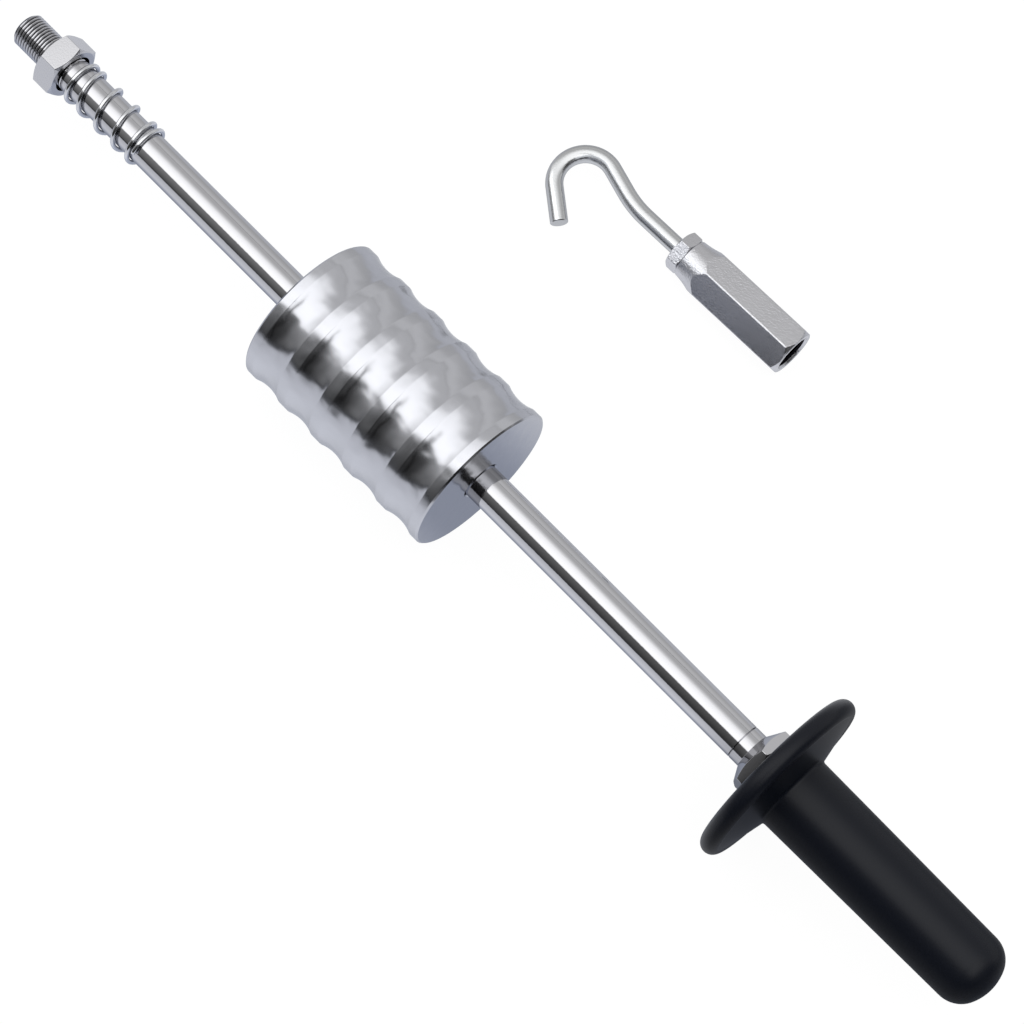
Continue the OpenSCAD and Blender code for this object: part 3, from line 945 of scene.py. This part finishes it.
@dataclass
class Studio:
    """White bench, surroundings of soft boxes and dark cards, and the camera.

    Fades of the surroundings follow the direction's share along X, or its lean in degrees. Those of
    the bench follow a place on it in millimetres, or the way back along the ray.
    """

    bench_from: tuple[float, float]
    bench_slope: float
    reach: float = 4000.0
    box: float = 2.40
    bands: tuple[Band, ...] = (
        Band(-180, 0.50),
        Band(-96, 0.76),
        Band(-76, 0.86),
        Band(-64, 1.00),
        Band(-50.5, 1.00),
        Band(-50, 0.45),
        Band(-48, 0.45),
        Band(-47.5, 0.94),
        Band(-36, 0.86),
        Band(-26, 1.00),
        Band(-16, 1.40),
        Band(-5, 2.00),
        Band(10, 2.26),
        Band(24, box),
        Band(39, box),
        Band(44.5, 0.20),
        Band(53, 0.12),
        Band(66, 0.07),
        Band(84, 0.045),
        Band(96, 0.045),
    )
    slant: Fade = Fade(5, 38, 0.47, 0.2, DEGREE)
    ahead: Fade = Fade(-0.1, 1.0, -0.2, 0.9)
    round_share: Fade = Fade(-180, 180, 0, 1, DEGREE)
    box_end: Fade = Fade(0.5, 0.95, box, 1.55, smooth=True)
    board: Fade = Fade(0.05, 0.95, 0.1, 0.85)
    board_shade: Fade = Fade(52, 92, 1.0, 0.35, DEGREE)
    stand_at: float = -0.19
    stand: Fade = Fade(0.03, 0.09, 0.9, 0.0, smooth=True)
    stand_top: Fade = Fade(8, 35, 0.0, 1.0, DEGREE, smooth=True)
    cloth: Fade = Fade(-0.78, -0.66, 0.1, 1.0, smooth=True)
    # The bench as metal mirrors it, painted: a sheen paler from above, shade under the tool in a bluer tint,
    # darkening far in front and by the handle, and the tool's shadow on the strip by the set
    seen_above: Fade = Fade(0, 1, 0.72, 1.2)
    shade_at: float = -8.0
    clear: Fade = Fade(15, 55, 0.0, 1.0, MM, smooth=True)
    clear_level: Fade = Fade(0, 1, 0.55, 1.0)
    far: Fade = Fade(220, 420, 1.0, 0.08, MM, smooth=True)
    by_handle: Fade = Fade(-460, -400, 0.3, 1.0, MM)
    flat_back: Fade = Fade(-0.95, -0.78, 0.1, 1.0)
    past_tool: Fade = Fade(-30, 0, 0.0, 1.0, MM)
    painted_shade_tint: tuple[float, ...] = (0.88, 0.95, 1.14, 1)
    clear_tint: tuple[float, ...] = (0.96, 0.98, 1.04, 1)
    bench_white: tuple[float, ...] = (0.76, 0.77, 0.8, 1)
    bench_trace: tuple[float, ...] = (0.06, 0.06, 0.06, 1)
    bench_glow: float = 0.96
    strip_size: tuple[float, float] = (210.0, 32.0)
    strip_at: tuple[float, float, float] = (-215.0, -111.0, 16.5)
    strip_lean: float = 51.5
    strip_watts: float = 0.0185
    strip_tint: tuple[float, float, float] = (0.97, 1.0, 1.06)
    focal_px: float = 3000.0
    picture_px: float = 1024.0
    sensor_mm: float = 36.0
    distance: float = 1206.0
    aim: float = -297.9
    pitch: float = 13.2
    lean: float = 23.9
    roll: float = -0.09

    def world(self) -> None:
        """Lights the scene from all round.

        Long soft boxes and cards lie beside the tool: their level depends on the angle about its
        axis, from straight up towards +Y, and the edges of the main box slant. Past the tip the box
        is weaker and a pale board shows beside it. A dark stand reaches into the box from below,
        and past the handle's end is a dark cloth.
        """
        world = bpy.data.worlds.new("studio")
        bpy.context.scene.world = world
        world.use_nodes = True
        tree = world.node_tree
        tree.nodes.clear()
        direction = add_node(tree, "ShaderNodeTexCoord").outputs["Generated"]
        along, across, up = add_node(tree, "ShaderNodeSeparateXYZ", None, {0: direction}).outputs
        lean = add_node(tree, MATH, {"operation": "ARCTAN2"}, {0: across, 1: up}).outputs[0]
        slant = add_node(tree, RANGE, *self.slant.of(lean)).outputs[0]
        ahead = add_node(tree, RANGE, *self.ahead.of(along)).outputs[0]
        skew = add_node(tree, MATH, {"operation": "MULTIPLY"}, {0: ahead, 1: slant}).outputs[0]
        straight = add_node(tree, MATH, {"operation": "SUBTRACT"}, {0: lean, 1: skew}).outputs[0]
        share = add_node(tree, RANGE, *self.round_share.of(straight)).outputs[0]
        ramp = add_node(tree, "ShaderNodeValToRGB", None, {"Fac": share})
        stops = ramp.color_ramp.elements
        while len(stops) < len(self.bands):
            stops.new(0.5)
        for stop, band in zip(stops, self.bands):
            grey = band.level / self.box
            stop.position = band.lean / 360 + 0.5
            stop.color = (grey, grey, grey, 1)
        drawn = ramp.outputs["Color"]
        lit = add_node(tree, MATH, {"operation": "MULTIPLY"}, {0: drawn, 1: self.box}).outputs[0]
        box_end = add_node(tree, RANGE, *self.box_end.of(along)).outputs[0]
        lit = add_node(tree, MATH, {"operation": "MINIMUM"}, {0: lit, 1: box_end}).outputs[0]
        board = add_node(tree, RANGE, *self.board.of(along)).outputs[0]
        shade = add_node(tree, RANGE, *self.board_shade.of(lean)).outputs[0]
        board = add_node(tree, MATH, {"operation": "MULTIPLY"}, {0: board, 1: shade}).outputs[0]
        level = add_node(tree, MATH, {"operation": "MAXIMUM"}, {0: lit, 1: board}).outputs[0]
        aside = add_node(tree, MATH, {"operation": "SUBTRACT"}, {0: along, 1: self.stand_at}).outputs[0]
        aside = add_node(tree, MATH, {"operation": "ABSOLUTE"}, {0: aside}).outputs[0]
        stand = add_node(tree, RANGE, *self.stand.of(aside)).outputs[0]
        top = add_node(tree, RANGE, *self.stand_top.of(lean)).outputs[0]
        stand = add_node(tree, MATH, {"operation": "MULTIPLY"}, {0: stand, 1: top}).outputs[0]
        open_share = add_node(tree, MATH, {"operation": "SUBTRACT"}, {0: 1.0, 1: stand}).outputs[0]
        cloth = add_node(tree, RANGE, *self.cloth.of(along)).outputs[0]
        for factor in (open_share, cloth):
            level = add_node(tree, MATH, {"operation": "MULTIPLY"}, {0: level, 1: factor}).outputs[0]
        glow = add_node(tree, "ShaderNodeBackground", None, {"Strength": level})
        add_node(tree, "ShaderNodeOutputWorld", None, {"Surface": glow.outputs[0]})

    def bench(self) -> None:
        """Lays the white bench top under the tool.

        It is a plane through the tool's two resting points. To the camera it adds a glow of its own,
        so that it comes out white and still takes a trace of shadow. In the metal it shows as a
        glow with light and shade painted into it: a painted sheen paler from straight above, painted
        shade in a bluer tint under the tool, darker far in front and by the handle, and a painted shadow
        where the set's plating shows the strip between it and the tool at a flat angle.
        """
        x0, z0 = self.bench_from
        x = np.array([-1, 1, 1, -1]) * self.reach
        y = np.array([-1, -1, 1, 1]) * self.reach
        points = np.stack([x, y, z0 + self.bench_slope * (x - x0)], axis=-1) * MM
        mesh = bpy.data.meshes.new("bench")
        mesh.from_pydata(points, [], [(0, 1, 2, 3)])
        bench = bpy.data.objects.new("bench", mesh)
        bpy.context.collection.objects.link(bench)
        material = bpy.data.materials.new("white bench")
        material.use_nodes = True
        tree = material.node_tree
        tree.nodes.clear()
        path = add_node(tree, "ShaderNodeLightPath").outputs
        spot = add_node(tree, "ShaderNodeTexCoord").outputs["Object"]
        along, across, _ = add_node(tree, "ShaderNodeSeparateXYZ", None, {0: spot}).outputs
        back = add_node(tree, "ShaderNodeNewGeometry").outputs["Incoming"]
        _, back_across, back_up = add_node(tree, "ShaderNodeSeparateXYZ", None, {0: back}).outputs
        aside = add_node(tree, MATH, {"operation": "SUBTRACT"}, {0: across, 1: self.shade_at * MM}).outputs[0]
        aside = add_node(tree, MATH, {"operation": "ABSOLUTE"}, {0: aside}).outputs[0]
        clear = add_node(tree, RANGE, *self.clear.of(aside)).outputs[0]
        clear_level = add_node(tree, RANGE, *self.clear_level.of(clear)).outputs[0]
        far = add_node(tree, RANGE, *self.far.of(across)).outputs[0]
        by_handle = add_node(tree, RANGE, *self.by_handle.of(along)).outputs[0]
        flat_back = add_node(tree, RANGE, *self.flat_back.of(back_across)).outputs[0]
        past_tool = add_node(tree, RANGE, *self.past_tool.of(across)).outputs[0]
        strip = add_node(tree, MATH, {"operation": "MAXIMUM"}, {0: flat_back, 1: past_tool}).outputs[0]
        # Painted light and shade of the bench as metal mirrors it
        level = add_node(tree, RANGE, *self.seen_above.of(back_up)).outputs[0]
        for factor in (clear_level, far, by_handle, strip):
            level = add_node(tree, MATH, {"operation": "MULTIPLY"}, {0: level, 1: factor}).outputs[0]
        tints = {0: clear, 6: self.painted_shade_tint, 7: self.clear_tint}
        tint = add_node(tree, "ShaderNodeMix", {"data_type": "RGBA"}, tints).outputs[2]
        painted_glow_in_metal = add_node(tree, "ShaderNodeEmission", None, {"Color": tint, "Strength": level}).outputs[0]
        plain = add_node(tree, "ShaderNodeBsdfDiffuse", None, {"Color": self.bench_white}).outputs[0]
        trace = add_node(tree, "ShaderNodeBsdfDiffuse", None, {"Color": self.bench_trace}).outputs[0]
        glow = add_node(tree, "ShaderNodeEmission", None, {"Strength": self.bench_glow}).outputs[0]
        white = add_node(tree, "ShaderNodeAddShader", None, {0: trace, 1: glow}).outputs[0]
        shown = plain
        for ray, seen in (("Is Glossy Ray", painted_glow_in_metal), ("Is Camera Ray", white)):
            shown = add_node(tree, "ShaderNodeMixShader", None, {0: path[ray], 1: shown, 2: seen}).outputs[0]
        add_node(tree, "ShaderNodeOutputMaterial", None, {"Surface": shown})
        mesh.materials.append(material)
        bench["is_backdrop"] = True

    def strip_light(self) -> None:
        """Hangs a strip light between the loose set and the tool, which shows only in what mirrors it."""
        data = bpy.data.lights.new("strip light", "AREA")
        data.shape = "RECTANGLE"
        data.size, data.size_y = (side * MM for side in self.strip_size)
        data.energy = self.strip_watts
        data.color = self.strip_tint
        light = bpy.data.objects.new("strip light", data)
        bpy.context.collection.objects.link(light)
        light.visible_camera = light.visible_diffuse = False
        light.location = [place * MM for place in self.strip_at]
        light.rotation_euler = (-self.strip_lean * DEGREE, 0, 0)

    def camera(self) -> None:
        """Sets up the camera: it leans round the tool's axis and looks a little towards the tip."""
        tilt, lean = math.radians(self.pitch), math.radians(self.lean)
        ahead = np.array([1.0, 0.0, 0.0])
        over = np.array([0.0, math.sin(lean), math.cos(lean)])
        place = np.array([self.aim, 0, 0]) + self.distance * (math.cos(tilt) * over - math.sin(tilt) * ahead)
        look = math.sin(tilt) * ahead - math.cos(tilt) * over
        back = -math.cos(tilt) * ahead - math.sin(tilt) * over
        side = np.array([0.0, math.cos(lean), -math.sin(lean)])
        right = (back - side) / math.sqrt(2)
        up = -(back + side) / math.sqrt(2)
        roll = math.radians(self.roll)
        right, up = math.cos(roll) * right + math.sin(roll) * up, math.cos(roll) * up - math.sin(roll) * right
        data = bpy.data.cameras.new("camera")
        data.sensor_width = self.sensor_mm
        data.lens = self.focal_px / self.picture_px * data.sensor_width
        data.clip_start, data.clip_end = 0.01, 20.0
        camera = bpy.data.objects.new("camera", data)
        bpy.context.collection.objects.link(camera)
        matrix = Matrix.Identity(4)
        for column, vector in enumerate((right, up, -look, place * MM)):
            for row in range(3):
                matrix[row][column] = float(vector[row])
        camera.matrix_world = matrix
        bpy.context.scene.camera = camera

    def build(self) -> None:
        """Builds the studio."""
        self.world()
        self.bench()
        self.strip_light()
        self.camera()
        bpy.context.scene.view_settings.view_transform = "Standard"


def resting_plane(tool: Tool) -> tuple[tuple[float, float], float]:
    """Finds the plane that the guard's rim and the weight's edge rest on.

    Args:
        tool: The tool that lies on it.

    Returns:
        A point of it as (x, z), and its slope dz/dx.
    """
    rim_x = -(tool.starts[Part.GRIP.value] + tool.rim_r)
    edge_x = -(tool.starts[Part.WEIGHT.value] + tool.weight_chamfer)
    slope = (tool.guard_r - tool.weight_r) / (edge_x - rim_x)
    return (rim_x, -tool.guard_r), slope


def corners() -> list[list[float]]:
    """The shown object's lowest and highest corner as plain lists."""
    return [list(corner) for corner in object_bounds()]


def main() -> None:
    """Loads the frame and builds the tool, the hook set and the studio."""
    logging.basicConfig(level=logging.INFO, format="%(name)s: %(message)s")
    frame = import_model()
    hook_turn = next(joint for joint in frame["joints"] if joint["name"] == "hook_turn")
    face, ahead = np.array(hook_turn["pos_m"]) / MM, np.array(hook_turn["axis"])
    tool = Tool()
    tool.build(frame["nodes"]["handle_tube"])
    HookSet(Placement.lying(face, ahead)).build()
    point, slope = resting_plane(tool)
    Studio(point, slope).build()


if __name__ == "__main__":
    main()
